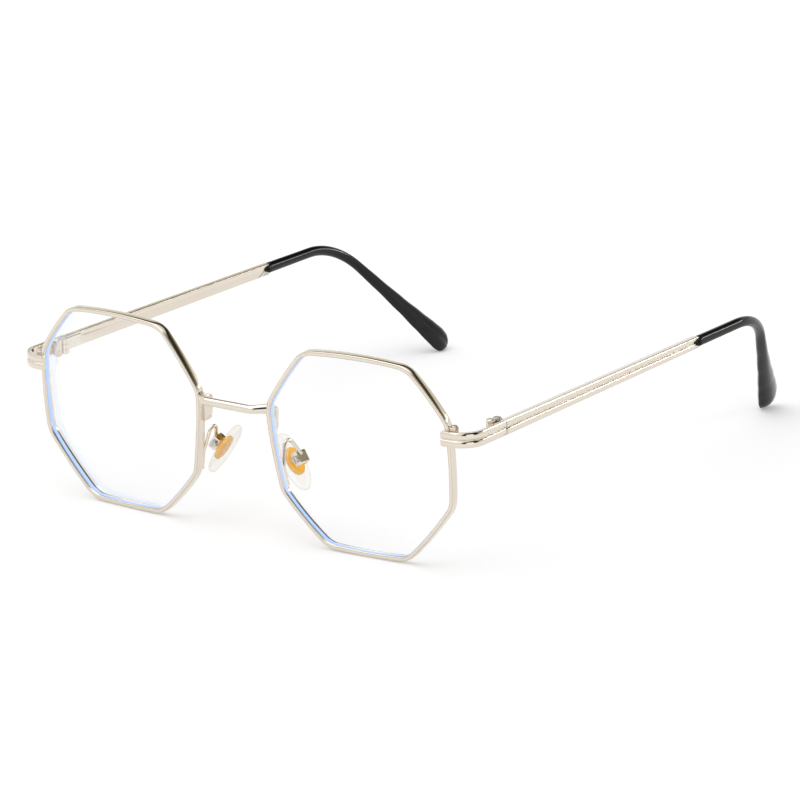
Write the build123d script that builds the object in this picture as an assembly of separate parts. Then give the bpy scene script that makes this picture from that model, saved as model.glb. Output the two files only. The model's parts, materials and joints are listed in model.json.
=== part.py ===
from build123d import *
import os
from math import atan2, cos, degrees, radians, sin, tan

# Octagonal metal eyeglasses, temples open. +X is the wearer's left, -Y the front,
# +Y runs back along the temples and +Z is up. Every size is in millimetres.

# Front: the two rims
LENS_BOX_WIDTH = 49.0
LENS_BOX_HEIGHT = 46.7
RIM_GAP = 18.7
RIM_FACE = 1.1
RIM_DEPTH = 2.1
RIM_EDGE_ROUND = 0.28
CORNER_ROUND = 6.5
TOP_BOW = 0.8
SIDE_BOW = 0.45
FACE_FORM = 3.3
FRONT_LEAN = 3.7
FRONT_SETBACK = 1.0
GROOVE_DEPTH = 0.5
GROOVE_HALF_WIDTH = 0.45
BEVEL_SHARE = 0.8
# Corners of the octagon, from the top nasal one round to the nasal upper one, as shares
# of the lens box: first the share of its width from the nose, then of its height.
CORNER_SHARES = [
    (0.219, 1), (0.793, 1), (1, 0.741), (1, 0.315),
    (0.739, 0), (0.296, 0), (0.057, 0.253), (0, 0.688),
]

# Lenses
LENS_CURVE_RADIUS = 200.0
LENS_THICKNESS = 1.5
LENS_CLEARANCE = 0.05

# Bridge and the brace plates behind the nose side of the rims
BRIDGE_WIRE = 1.8
BRIDGE_HEIGHT = 31.2
BRIDGE_FLAT_SPAN = 13.2
BRIDGE_FORWARD = 2.52
BRIDGE_SEAT_SHARE = 0.5
BRIDGE_LAP_SHARE = 0.1
BRIDGE_BEND = 2.2
BRACE_HEIGHT = 6.6
BRACE_DEPTH = 3.3
BRACE_FOOT_DEPTH = 2.1
BRACE_START_SHARE = 0.5
BRACE_THICKNESS = 0.8
BRACE_TOP = 31.6
BRACE_ROUND = 0.9

# End pieces and temple bars share one ribbed section
BAR_LEVEL = 31.6
BAR_HEIGHT = 3.25
BAR_END_HEIGHT = 2.55
BAR_THICKNESS = 1.3
BAR_SKIM = 0.1
RIB_CROWN = 0.3
RIB_GROOVE = 0.36
ENDPIECE_REACH = 5.9
ENDPIECE_HEIGHT = 3.45
ENDPIECE_BEND = 5.3
ENDPIECE_LAP = 0.3
JOINT_SETBACK = 15.0
JOINT_GAP = 0.15
BAR_LENGTH = 79.8
TOE_IN = 0.6

# Rim locks: two blocks on the outside of the rim, drawn together by a screw
LOCK_LENGTH = 1.6
LOCK_DEPTH = 1.5
LOCK_SETBACK = -0.3
LOCK_UPPER_HEIGHT = 1.3
LOCK_LOWER_HEIGHT = 2.2
LOCK_GAP = 0.3
LOCK_ROUND = 0.35
LOCK_LEVEL = 32.6
LOCK_SCREW_RADIUS = 0.4
LOCK_HEAD_RADIUS = 0.7
LOCK_HEAD_HEIGHT = 0.35
SCREW_CLEARANCE = 0.04

# Hinges
HINGE_OFFSET = 1.4
KNUCKLE_RADIUS = 1.2
KNUCKLE_STACK = 3.6
KNUCKLE_GAP = 0.06
LEAF_THICKNESS = 0.75
LEAF_LENGTH = 5.6
LEAF_CLEARANCE = 0.12
LEAF_SEAT = 0.15
SEAT_CLEARANCE = 0.1
PIN_RADIUS = 0.6
PIN_HEAD_RADIUS = 0.95
PIN_HEAD_HEIGHT = 0.35
SLOT_WIDTH = 0.25
SLOT_DEPTH = 0.2
HEAD_ROUND = 0.14
KNUCKLES = 3
LEAF_ROUND = 0.25
BOSS_RADIUS = 1.05
BOSS_SETBACK = 2.55
BOSS_RISE = 0.6
BOSS_ROUND = 0.4

# Temple tips
TIP_DROP_ANGLE = 51.0
TIP_LEAN = 24.5
TIP_STRAIGHT = 17.4
TIP_BEND = 20.8
TIP_TAIL = 34.3
CORE_RADIUS = 0.65
CORE_CLEARANCE = 0.05
CORE_INTO_TAIL = 16.0
TIP_LIP = 1.2
# Section of the tip at shares of its length: the share, the height in the plane of the
# bend and the thickness across it.
TIP_SECTION_SHARES = [
    (0.0, 0.38, 0.92), (0.22, 0.36, 0.91), (0.4, 0.36, 0.9), (0.5, 0.36, 0.88), (0.62, 0.44, 0.85),
    (0.74, 0.61, 0.82), (0.86, 0.92, 0.88), (0.93, 1.0, 0.97), (0.972, 0.8, 0.85), (1.0, 0.4, 0.45),
]
TIP_STEPS = 20
TIP_HEIGHT = 7.0
TIP_THICKNESS = 2.9
# How full the tip's quarters are, inside and outside
TIP_SOFT_SHARE = 0.75
TIP_FACET_SHARE = 0.6

# Nose pads
PAD_LENGTH = 14.3
PAD_WIDTH = 7.1
PAD_THICKNESS = 1.8
PAD_EDGE_SHARE = 0.46
PAD_CENTRE = (9.85, 8.5, 16.45)
PAD_SPLAY_UP = 33.0
PAD_SPLAY_BACK = 5.0
INSERT_LENGTH = 6.8
INSERT_WIDTH = 4.8
INSERT_THICKNESS = 0.9
LUG_WIDTH = 1.3
LUG_LENGTH = 1.25
LUG_ROUND_SHARE = 0.45
BOX_LENGTH = 3.2
BOX_WIDTH = 2.9
BOX_HEIGHT = 2.1
BOX_SLOT_CLEARANCE = 0.22
BOX_STANDOFF = 0.55
BOX_ROOF = 0.25
BOX_ROUND = 0.4
PAD_PIN_RADIUS = 0.35
PAD_HEAD_RADIUS = 0.85
PAD_HEAD_HEIGHT = 0.6
ARM_WIRE = 0.9
ARM_LOOP_TOP = 22.5
ARM_LOOP_SHARES = (0.33, 0.68)
ARM_LOOP_INSET = 0.9
ARM_BEND = 1.4
ARM_FOOT_SHARES = (0.27, 0.36)
ARM_SINK = 0.08
ARM_LANDING = 0.6

# How far cutting tools run past what they cut, as a multiple of its size
OVERRUN = 4

half_gap = RIM_GAP / 2
bar_spread = half_gap + LENS_BOX_WIDTH + ENDPIECE_REACH
centre_u = LENS_BOX_WIDTH / 2
centre_v = LENS_BOX_HEIGHT / 2
groove_plane = RIM_DEPTH / 2

# The lens plane: drawn flat with x towards the temple and y up, its front at z = 0 and
# its depth along -z, then stood up, leant forward and wrapped back about its nasal edge.
LENS_PLACE = Pos(half_gap, 0, 0) * Rot(0, 0, FACE_FORM) * Rot(FRONT_LEAN, 0, 0) * Rot(90, 0, 0)
LENS_PLACE = LENS_PLACE * Pos(0, 0, -FRONT_SETBACK)


def lens_point(u, v, depth):
    """A point given in the lens plane, in the frame of the glasses."""
    return (LENS_PLACE * Pos(u, v, -depth)).position


def side_circle(i):
    """Centre and radius of the long arc that side i follows."""
    start, end = CORNERS[i], CORNERS[(i + 1) % len(CORNERS)]
    chord = end - start
    along = chord.normalized()
    bow = TOP_BOW if i == 0 else SIDE_BOW
    radius = ((chord.length / 2) ** 2 + bow ** 2) / (bow * 2)
    return (start + end) / 2 - Vector(-along.Y, along.X) * (radius - bow), radius


def corner_centre(i):
    """Centre of the rounding between the side before corner i and the side after it."""
    (a, reach_a), (b, reach_b) = SIDES[i - 1], SIDES[i]
    reach_a, reach_b = reach_a - CORNER_ROUND, reach_b - CORNER_ROUND
    apart = (b - a).length
    along = (b - a).normalized()
    run = (apart ** 2 + reach_a ** 2 - reach_b ** 2) / (apart * 2)
    rise = (reach_a ** 2 - run ** 2) ** 0.5
    across = Vector(-along.Y, along.X)
    choices = [a + along * run + across * rise, a + along * run - across * rise]
    return min(choices, key=lambda spot: (spot - CORNERS[i]).length)


CORNERS = [Vector(u * LENS_BOX_WIDTH, v * LENS_BOX_HEIGHT) for u, v in CORNER_SHARES]
SIDES = [side_circle(i) for i in range(len(CORNERS))]
ROUNDS = [corner_centre(i) for i in range(len(CORNERS))]


def inset(amount):
    """The octagon with bowed sides and rounded corners, smaller by an even amount."""
    arcs = []
    for i, (middle, radius) in enumerate(SIDES):
        following = ROUNDS[(i + 1) % len(ROUNDS)]
        aims = [(ROUNDS[i] - middle).normalized(), (following - middle).normalized()]
        start, end = [middle + aim * (radius - amount) for aim in aims]
        crown = middle + (aims[0] + aims[1]).normalized() * (radius - amount)
        arcs.append(ThreePointArc(start, crown, end))
        next_middle, next_radius = SIDES[(i + 1) % len(SIDES)]
        next_aim = (following - next_middle).normalized()
        tip_of_corner = following + (aims[1] + next_aim).normalized() * (CORNER_ROUND - amount)
        arcs.append(ThreePointArc(end, tip_of_corner, next_middle + next_aim * (next_radius - amount)))
    return make_face(arcs)


OUTLINE = inset(0)


def bevel_disc(peak):
    """A disc with a bevelled edge, reaching to peak inside the rim's outer edge."""
    disc = extrude(inset(peak), GROOVE_HALF_WIDTH, both=True)
    ends = disc.faces().sort_by(Axis.Z)
    disc = chamfer(ends[0].edges() + ends[-1].edges(), GROOVE_HALF_WIDTH * BEVEL_SHARE)
    return Pos(0, 0, -groove_plane) * disc


def rim_side_u(v):
    """How far the temporal outer edge stands from the nose at height v, at mid side."""
    low, high = CORNER_SHARES[3], CORNER_SHARES[2]
    share = (v / LENS_BOX_HEIGHT - low[1]) / (high[1] - low[1])
    bow = SIDE_BOW * 4 * share * (1 - share)
    return LENS_BOX_WIDTH + bow


def rim():
    ring = extrude(OUTLINE - inset(RIM_FACE), -RIM_DEPTH)
    ends = ring.faces().sort_by(Axis.Z)
    ring = fillet(ends[-1].edges() + ends[0].edges(), RIM_EDGE_ROUND)
    ring -= bevel_disc(RIM_FACE - GROOVE_DEPTH)
    ring = LENS_PLACE * ring
    slit = Pos(*lens_point(LENS_BOX_WIDTH, LOCK_LEVEL, groove_plane)) * Box(
        RIM_FACE * OVERRUN, RIM_DEPTH * OVERRUN, LOCK_GAP)
    return ring - slit


def lens():
    """A shallow meniscus with a bevelled edge that sits in the rim's groove."""
    reach = RIM_DEPTH * OVERRUN
    blank = extrude(inset(RIM_FACE + LENS_CLEARANCE), reach, both=True)
    mean_reach = (LENS_BOX_WIDTH + LENS_BOX_HEIGHT) / 4 - RIM_FACE
    crown = mean_reach ** 2 / LENS_CURVE_RADIUS / 2
    front = crown - groove_plane + LENS_THICKNESS / 2
    middle = Pos(centre_u, centre_v, front - LENS_CURVE_RADIUS)
    shell = middle * Sphere(LENS_CURVE_RADIUS) - middle * Sphere(LENS_CURVE_RADIUS - LENS_THICKNESS)
    body = blank & shell
    bevel = bevel_disc(RIM_FACE - GROOVE_DEPTH + LENS_CLEARANCE)
    bevel -= extrude(inset(RIM_FACE + GROOVE_HALF_WIDTH), reach, both=True)
    return LENS_PLACE * (body + bevel)


def bar_section(height, skim=0):
    """The ribbed section of the end piece and the temple: x points outward, y along Z."""
    back, front, top = -BAR_THICKNESS / 2 - skim, BAR_THICKNESS / 2 - RIB_CROWN, height / 2
    valley, crest = RIB_GROOVE / 2, (height / 2 + RIB_GROOVE / 2) / 2
    outline = [
        Line((back, -top), (back, top)),
        Line((back, top), (front, top)),
        ThreePointArc((front, top), (front + RIB_CROWN, crest), (front, valley)),
        Line((front, valley), (front, -valley)),
        ThreePointArc((front, -valley), (front + RIB_CROWN, -crest), (front, -top)),
        Line((front, -top), (back, -top)),
    ]
    return make_face(outline)


def endpiece():
    """A ribbed strip that laps over the rim's front and turns back to the hinge."""
    lap_u = LENS_BOX_WIDTH - RIM_FACE + ENDPIECE_LAP
    start = lens_point(lap_u, BAR_LEVEL, -BAR_THICKNESS / 2)
    wrap = radians(FACE_FORM)
    corner_y = start.Y + (bar_spread - start.X) * tan(wrap)
    end = Vector(bar_spread, JOINT_SETBACK - JOINT_GAP / 2, BAR_LEVEL)
    start = Vector(start.X, start.Y, BAR_LEVEL)
    path = FilletPolyline(start, Vector(bar_spread, corner_y, BAR_LEVEL), end, radius=ENDPIECE_BEND)
    plane = Plane(origin=start, x_dir=(sin(wrap), -cos(wrap), 0), z_dir=(cos(wrap), sin(wrap), 0))
    return sweep(plane * bar_section(ENDPIECE_HEIGHT), path=path)


def bridge():
    """A round wire, flat across the nose and bent back at both ends to meet the rims."""
    end_u, end_v = half_gap + RIM_FACE * BRIDGE_LAP_SHARE, BRIDGE_HEIGHT
    side = lens_point(0, end_v, RIM_DEPTH * BRIDGE_SEAT_SHARE)
    front_y = side.Y - BRIDGE_FORWARD
    flat = BRIDGE_FLAT_SPAN / 2
    points = [(-end_u, side.Y, end_v), (-flat, front_y, end_v), (flat, front_y, end_v), (end_u, side.Y, end_v)]
    path = FilletPolyline(*points, radius=BRIDGE_BEND)
    plane = Plane(origin=path @ 0, z_dir=path % 0)
    return sweep(plane * Circle(BRIDGE_WIRE / 2), path=path)


def nasal_u(v):
    """The nasal outer edge at height v, on the long side below the bridge."""
    low, high = CORNER_SHARES[6], CORNER_SHARES[7]
    share = (v / LENS_BOX_HEIGHT - low[1]) / (high[1] - low[1])
    bow = SIDE_BOW * 4 * share * (1 - share)
    return LENS_BOX_WIDTH * (low[0] + (high[0] - low[0]) * share) - bow


def brace():
    """A small plate brazed upright to the rim beside the bridge, deeper at its top."""
    foot_v = BRACE_TOP - BRACE_HEIGHT
    start = RIM_DEPTH * BRACE_START_SHARE
    points = [
        (start, foot_v), (RIM_DEPTH + BRACE_FOOT_DEPTH, foot_v),
        (RIM_DEPTH + BRACE_DEPTH, BRACE_TOP), (start, BRACE_TOP),
    ]
    side = Plane(origin=(0, 0, 0), x_dir=(0, 0, -1), z_dir=(1, 0, 0))
    plate = extrude(side * Polygon(*points, align=None), BRACE_THICKNESS)
    plate = fillet(plate.edges().filter_by(Axis.X).sort_by(Axis.Z)[:2], BRACE_ROUND)
    place_u = nasal_u((foot_v + BRACE_TOP) / 2) - BRACE_THICKNESS / 2
    return LENS_PLACE * (Pos(place_u, 0, 0) * plate)


def lock_centre():
    """The line of the rim lock's screw, where it crosses the slit in the rim."""
    u = rim_side_u(LOCK_LEVEL) + LOCK_LENGTH / 2
    return lens_point(u, LOCK_LEVEL, RIM_DEPTH + LOCK_SETBACK - LOCK_DEPTH / 2)


def rim_lock(upper):
    """One half of the block that closes the rim, with the screw's hole through it."""
    height = LOCK_UPPER_HEIGHT if upper else LOCK_LOWER_HEIGHT
    side = 1 if upper else -1
    block = Box(LOCK_LENGTH, LOCK_DEPTH, height)
    block = fillet(block.edges().filter_by(Axis.Z).sort_by(Axis.X)[-2:], LOCK_ROUND)
    centre = lock_centre()
    middle = Vector(centre.X, centre.Y, centre.Z + side * (LOCK_GAP + height) / 2)
    hole = Pos(middle) * Cylinder(LOCK_SCREW_RADIUS + SCREW_CLEARANCE, height * OVERRUN)
    return Pos(middle) * Rot(0, 0, FACE_FORM) * block - hole


def lock_screw():
    """Slotted screw, head on the upper block."""
    centre = lock_centre()
    length = LOCK_UPPER_HEIGHT + LOCK_LOWER_HEIGHT + LOCK_GAP
    top = centre.Z + LOCK_GAP / 2 + LOCK_UPPER_HEIGHT
    shank = Pos(centre.X, centre.Y, top - length / 2) * Cylinder(LOCK_SCREW_RADIUS, length)
    head = Pos(centre.X, centre.Y, top + LOCK_HEAD_HEIGHT / 2) * Cylinder(LOCK_HEAD_RADIUS, LOCK_HEAD_HEIGHT)
    head = fillet(head.edges().sort_by(Axis.Z)[-1], HEAD_ROUND)
    slot = Pos(centre.X, centre.Y, top + LOCK_HEAD_HEIGHT) * Box(
        LOCK_HEAD_RADIUS * OVERRUN, SLOT_WIDTH, SLOT_DEPTH * 2)
    return shank + head - slot


# The hinge: its pin stands on the inside of the bars, level with the joint
HINGE_X = bar_spread - BAR_THICKNESS / 2 - HINGE_OFFSET
HINGE_Y = JOINT_SETBACK
HINGE = Pos(HINGE_X, HINGE_Y, BAR_LEVEL)
knuckle_height = (KNUCKLE_STACK - KNUCKLE_GAP * (KNUCKLES - 1)) / KNUCKLES
leaf_start = KNUCKLE_RADIUS + LEAF_CLEARANCE


def hinge_leaf(levels, way, seat=0):
    """Knuckles and the plate that carries them, sunk by seat; way is +1 to the rear."""
    plate_middle = way * (leaf_start + LEAF_LENGTH / 2)
    plate = Pos(HINGE_OFFSET + seat / 2 - LEAF_THICKNESS / 2, plate_middle, 0) * Box(
        LEAF_THICKNESS + seat, LEAF_LENGTH, BAR_END_HEIGHT)
    plate = fillet(plate.edges().filter_by(Axis.Y).sort_by(Axis.X)[:2], LEAF_ROUND)
    for level in levels:
        z = level * (knuckle_height + KNUCKLE_GAP)
        plate += Pos(0, 0, z) * Cylinder(KNUCKLE_RADIUS, knuckle_height)
        web = Pos((HINGE_OFFSET + seat) / 2, way * (leaf_start + KNUCKLE_GAP) / 2, z) * Box(
            HINGE_OFFSET + seat, leaf_start + KNUCKLE_GAP, knuckle_height)
        plate += web
    return plate - Cylinder(PIN_RADIUS + SCREW_CLEARANCE, KNUCKLE_STACK * OVERRUN)


def hinge_boss():
    """The round boss of the front leaf, just ahead of its knuckles."""
    boss = Pos(0, -BOSS_SETBACK, BOSS_RISE / 2) * Cylinder(BOSS_RADIUS, KNUCKLE_STACK + BOSS_RISE)
    return fillet(boss.edges().sort_by(Axis.Z)[-1], BOSS_ROUND)


def hinge_screw():
    """The hinge's pin: a slotted screw whose head stands on the top knuckle."""
    shank = Cylinder(PIN_RADIUS, KNUCKLE_STACK)
    top = KNUCKLE_STACK / 2
    head = Pos(0, 0, top + PIN_HEAD_HEIGHT / 2) * Cylinder(PIN_HEAD_RADIUS, PIN_HEAD_HEIGHT)
    head = fillet(head.edges().sort_by(Axis.Z)[-1], HEAD_ROUND)
    slot = Pos(0, 0, top + PIN_HEAD_HEIGHT) * Box(PIN_HEAD_RADIUS * OVERRUN, SLOT_WIDTH, SLOT_DEPTH * 2)
    return HINGE * (shank + head - slot)


# The temple: drawn straight back from the joint, then turned in about the hinge
TEMPLE_TURN = HINGE * Rot(0, 0, TOE_IN) * HINGE.inverse()
bar_start = JOINT_SETBACK + JOINT_GAP / 2
bar_end = JOINT_SETBACK + BAR_LENGTH
TIP_PLANE = Plane(origin=(bar_spread, bar_end, BAR_LEVEL), x_dir=(0, 1, 0),
                  z_dir=(cos(radians(TIP_LEAN)), 0, -sin(radians(TIP_LEAN))))


def tip_path(tail):
    """The centre line of the tip: straight, bent down and in, then straight for tail."""
    reach = TIP_BEND * tan(radians(TIP_DROP_ANGLE) / 2)
    corner = Vector(TIP_STRAIGHT + reach, 0)
    heading = Vector(cos(radians(TIP_DROP_ANGLE)), -sin(radians(TIP_DROP_ANGLE)))
    end = corner + heading * (reach + tail)
    return TIP_PLANE * FilletPolyline((0, 0), corner, end, radius=TIP_BEND)


def tip_section(place, height, thickness):
    """One section of the tip: a smooth inner side and two facets outside, meeting in a ridge."""
    tall, thick = height / 2, thickness / 2
    soft, flat = TIP_SOFT_SHARE, TIP_FACET_SHARE
    outline = [
        ThreePointArc((0, tall), (-thick * soft, tall * soft), (-thick, 0)),
        ThreePointArc((-thick, 0), (-thick * soft, -tall * soft), (0, -tall)),
        ThreePointArc((0, -tall), (thick * flat, -tall * flat), (thick, 0)),
        ThreePointArc((thick, 0), (thick * flat, tall * flat), (0, tall)),
    ]
    return place * make_face(outline)


def tip_stations():
    """The tip's section shares, filled in evenly between the given ones."""
    last = TIP_SECTION_SHARES[-1][0]
    spots = sorted({i / TIP_STEPS * last for i in range(TIP_STEPS)} | {row[0] for row in TIP_SECTION_SHARES})
    stations = []
    for spot in spots:
        after = next(i for i, row in enumerate(TIP_SECTION_SHARES) if row[0] >= spot)
        b = TIP_SECTION_SHARES[after]
        a = TIP_SECTION_SHARES[max(after - 1, 0)]
        span = b[0] - a[0]
        part = (spot - a[0]) / span if span else 1
        ease = part * part * (3 - 2 * part)
        stations.append((spot, a[1] + (b[1] - a[1]) * ease, a[2] + (b[2] - a[2]) * ease))
    return stations


def tip():
    """A moulded sleeve that widens to its end, with a bore for the temple's core."""
    path = tip_path(TIP_TAIL)
    outward = Vector(TIP_PLANE.z_dir)
    sections = []
    for share, tall_share, thick_share in tip_stations():
        place = Plane(origin=path @ share, x_dir=outward, z_dir=path % share)
        sections.append(tip_section(place, TIP_HEIGHT * tall_share, TIP_THICKNESS * thick_share))
    body = loft(sections, ruled=True)
    bore_path = tip_path(CORE_INTO_TAIL)
    bore_plane = Plane(origin=bore_path @ 0, z_dir=bore_path % 0)
    return body - sweep(bore_plane * Circle(CORE_RADIUS + CORE_CLEARANCE), path=bore_path)


def temple():
    """The ribbed bar, tapered towards the ear, and the round core that the tip slides on."""
    front = Plane(origin=(bar_spread, bar_start, BAR_LEVEL), x_dir=(1, 0, 0), z_dir=(0, 1, 0))
    rear = Plane(origin=(bar_spread, bar_end, BAR_LEVEL), x_dir=(1, 0, 0), z_dir=(0, 1, 0))
    bar = loft([front * bar_section(BAR_HEIGHT, BAR_SKIM), rear * bar_section(BAR_END_HEIGHT, BAR_SKIM)], ruled=True)
    # The loft's flat sides are not true planes, so its inner side is cut flat.
    bar -= Pos(bar_spread - BAR_THICKNESS / 2 - BAR_SKIM, (bar_start + bar_end) / 2, BAR_LEVEL) * Box(
        BAR_SKIM * 2, BAR_LENGTH * 2, BAR_HEIGHT * 2)
    # The rear leaf lies in a shallow seat, so that the flat behind it stays clear.
    seat = leaf_start + LEAF_LENGTH + SEAT_CLEARANCE
    bar -= Pos(bar_spread - BAR_THICKNESS / 2, HINGE_Y + seat / 2, BAR_LEVEL) * Box(
        LEAF_SEAT * 2, seat, BAR_HEIGHT * 2)
    path = tip_path(CORE_INTO_TAIL - CORE_CLEARANCE * 2)
    core_plane = Plane(origin=path @ 0, z_dir=path % 0)
    return bar + sweep(core_plane * Circle(CORE_RADIUS), path=path)


# The nose pad's own frame: x across the pad towards the ear, y up its length and
# z out of its back, away from the nose.
PAD = Pos(*PAD_CENTRE) * Rot(0, 0, -PAD_SPLAY_BACK) * Rot(0, -PAD_SPLAY_UP, 0) * Plane(
    origin=(0, 0, 0), x_dir=(0, 1, 0), z_dir=(1, 0, 0)).location


def pad_outline(length, width):
    """The oval that the pad and its insert share."""
    return Ellipse(width / 2, length / 2)


def pad():
    """The clear soft pad, cupped on the nose side and pocketed for the insert."""
    body = extrude(pad_outline(PAD_LENGTH, PAD_WIDTH), PAD_THICKNESS / 2, both=True)
    body = fillet(body.edges(), PAD_THICKNESS * PAD_EDGE_SHARE)
    top = PAD_THICKNESS / 2
    pocket = Pos(0, 0, top - INSERT_THICKNESS) * extrude(
        pad_outline(INSERT_LENGTH, INSERT_WIDTH), INSERT_THICKNESS * 2)
    return PAD * (body - pocket)


pin_level = PAD_THICKNESS / 2 + BOX_STANDOFF + BOX_HEIGHT / 2


def pad_insert():
    """The amber core of the pad with the lug that swings in the arm's box."""
    base = Pos(0, 0, PAD_THICKNESS / 2 - INSERT_THICKNESS) * extrude(
        pad_outline(INSERT_LENGTH, INSERT_WIDTH), INSERT_THICKNESS)
    foot = PAD_THICKNESS / 2 - INSERT_THICKNESS
    tall = pin_level + LUG_LENGTH / 2 - foot
    lug = Pos(0, 0, foot + tall / 2) * Box(LUG_WIDTH, LUG_LENGTH, tall)
    lug = fillet(lug.edges().filter_by(Axis.X).sort_by(Axis.Z)[-2:], LUG_LENGTH * LUG_ROUND_SHARE)
    hole = Pos(0, 0, pin_level) * Rot(0, 90, 0) * Cylinder(PAD_PIN_RADIUS + SCREW_CLEARANCE, BOX_WIDTH * OVERRUN)
    return PAD * (base + lug - hole)


def box_block():
    block = Pos(0, 0, pin_level) * Box(BOX_WIDTH, BOX_LENGTH, BOX_HEIGHT)
    return fillet(block.edges().filter_by(Axis.X), BOX_ROUND)


def pad_box():
    """The metal box at the arm's end: a fork that holds the pad's lug on a screw."""
    shell = box_block()
    gap = LUG_WIDTH + BOX_SLOT_CLEARANCE * 2
    slot = Pos(0, 0, pin_level - BOX_ROOF) * Box(gap, BOX_LENGTH * OVERRUN, BOX_HEIGHT)
    hole = Pos(0, 0, pin_level) * Rot(0, 90, 0) * Cylinder(PAD_PIN_RADIUS + SCREW_CLEARANCE, BOX_WIDTH * OVERRUN)
    return PAD * (shell - slot - hole)


def pad_screw():
    """The small screw across the box."""
    shank = Pos(0, 0, pin_level) * Rot(0, 90, 0) * Cylinder(PAD_PIN_RADIUS, BOX_WIDTH)
    head = Pos(-BOX_WIDTH / 2 - PAD_HEAD_HEIGHT / 2, 0, pin_level) * Rot(0, 90, 0) * Cylinder(
        PAD_HEAD_RADIUS, PAD_HEAD_HEIGHT)
    slot = Pos(-BOX_WIDTH / 2 - PAD_HEAD_HEIGHT, 0, pin_level) * Box(
        SLOT_DEPTH * 2, PAD_HEAD_RADIUS * OVERRUN, SLOT_WIDTH)
    return PAD * (shank + head - slot)


def pad_arm():
    """The wire from the rim's back: up, over in a loop and down to the box."""
    foot_depth = RIM_DEPTH + ARM_WIRE / 2 - ARM_SINK
    feet = []
    for share in ARM_FOOT_SHARES:
        v = LENS_BOX_HEIGHT * share
        feet.append(lens_point(nasal_u(v) + RIM_FACE / 2, v, foot_depth))
    low = (PAD * Pos(0, ARM_LANDING, pin_level + BOX_HEIGHT / 2 - ARM_SINK * 2)).position
    near, far = [
        Vector(feet[1].X - ARM_LOOP_INSET, feet[1].Y + (low.Y - feet[1].Y) * share, ARM_LOOP_TOP)
        for share in ARM_LOOP_SHARES]
    path = FilletPolyline(feet[0], feet[1], near, far, low, radius=ARM_BEND)
    plane = Plane(origin=path @ 0, z_dir=path % 0)
    return sweep(plane * Circle(ARM_WIRE / 2), path=path) - PAD * box_block()


def left_side():
    """Every piece of the wearer's left half, by name; what is brazed to the rim is cut to it."""
    ring = rim()
    strip = endpiece() - ring
    return {
        "rim": ring,
        "lens": lens(),
        "brace_plate": brace() - ring - bridge(),
        "rim_lock_upper": rim_lock(True) - ring - strip,
        "rim_lock_lower": rim_lock(False) - ring - strip,
        "rim_lock_screw": lock_screw(),
        "endpiece": strip,
        "hinge_front_leaf": HINGE * (hinge_leaf((-1, 1), -1) + hinge_boss()),
        "hinge_screw": hinge_screw(),
        "hinge_rear_leaf": TEMPLE_TURN * HINGE * hinge_leaf((0,), 1, LEAF_SEAT),
        "temple": TEMPLE_TURN * temple(),
        "temple_tip": TEMPLE_TURN * tip(),
        "pad_arm": pad_arm() - ring,
        "pad_box": pad_box(),
        "pad_screw": pad_screw(),
        "pad_insert": pad_insert(),
        "nose_pad": pad(),
    }


def build():
    """All pieces, with the origin moved under the middle of the glasses' box."""
    pieces = {}
    for name, solid in left_side().items():
        pieces[name + "_left"] = solid
        pieces[name + "_right"] = mirror(solid, about=Plane.YZ)
    pieces["bridge"] = bridge() - pieces["rim_left"] - pieces["rim_right"]
    whole = Compound(children=[Compound(piece.wrapped) for piece in pieces.values()]).bounding_box()
    shift = Pos(0, -(whole.min.Y + whole.max.Y) / 2, -whole.min.Z)
    return {name: shift * piece for name, piece in pieces.items()}, shift


parts, shift = build()
os.makedirs("parts", exist_ok=True)
for name, piece in parts.items():
    export_step(piece, f"parts/{name}.step")
for label, point in (
        ("origin shift", shift.position),
        ("hinge axis left", (shift * HINGE).position),
        ("pad pin left", (shift * PAD * Pos(0, 0, pin_level)).position),
        ("pad pin axis", (PAD * Pos(1, 0, 0)).position - PAD.position)):
    print(label, [round(value, 4) for value in point])
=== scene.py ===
import json
import math

import bmesh
import bpy
from mathutils import Matrix, Vector


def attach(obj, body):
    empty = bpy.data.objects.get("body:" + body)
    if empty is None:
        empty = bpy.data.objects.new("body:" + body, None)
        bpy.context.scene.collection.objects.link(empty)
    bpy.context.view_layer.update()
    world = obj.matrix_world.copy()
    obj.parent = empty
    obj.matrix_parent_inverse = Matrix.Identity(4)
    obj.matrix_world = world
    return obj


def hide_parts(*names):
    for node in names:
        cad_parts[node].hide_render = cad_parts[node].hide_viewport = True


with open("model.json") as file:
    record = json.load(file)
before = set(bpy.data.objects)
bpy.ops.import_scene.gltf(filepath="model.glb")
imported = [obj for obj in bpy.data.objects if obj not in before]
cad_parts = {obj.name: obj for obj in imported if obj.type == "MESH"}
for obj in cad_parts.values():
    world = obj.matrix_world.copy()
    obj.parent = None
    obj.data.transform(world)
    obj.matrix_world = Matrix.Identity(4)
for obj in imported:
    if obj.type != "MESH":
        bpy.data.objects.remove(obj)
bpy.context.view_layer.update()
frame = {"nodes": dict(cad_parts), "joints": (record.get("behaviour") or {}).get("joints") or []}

bl_info = {
    "name": "Octagonal eyeglasses",
    "version": (1, 0, 0),
    "blender": (4, 5, 0),
    "location": "View3D > Sidebar > Eyeglasses",
    "description": "Dresses the packed eyeglasses frame with its finished pieces and a plain studio",
    "category": "Object",
}

SIDES = ("left", "right")
MM = 0.001
EDGE_BREAK = 0.07

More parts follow.
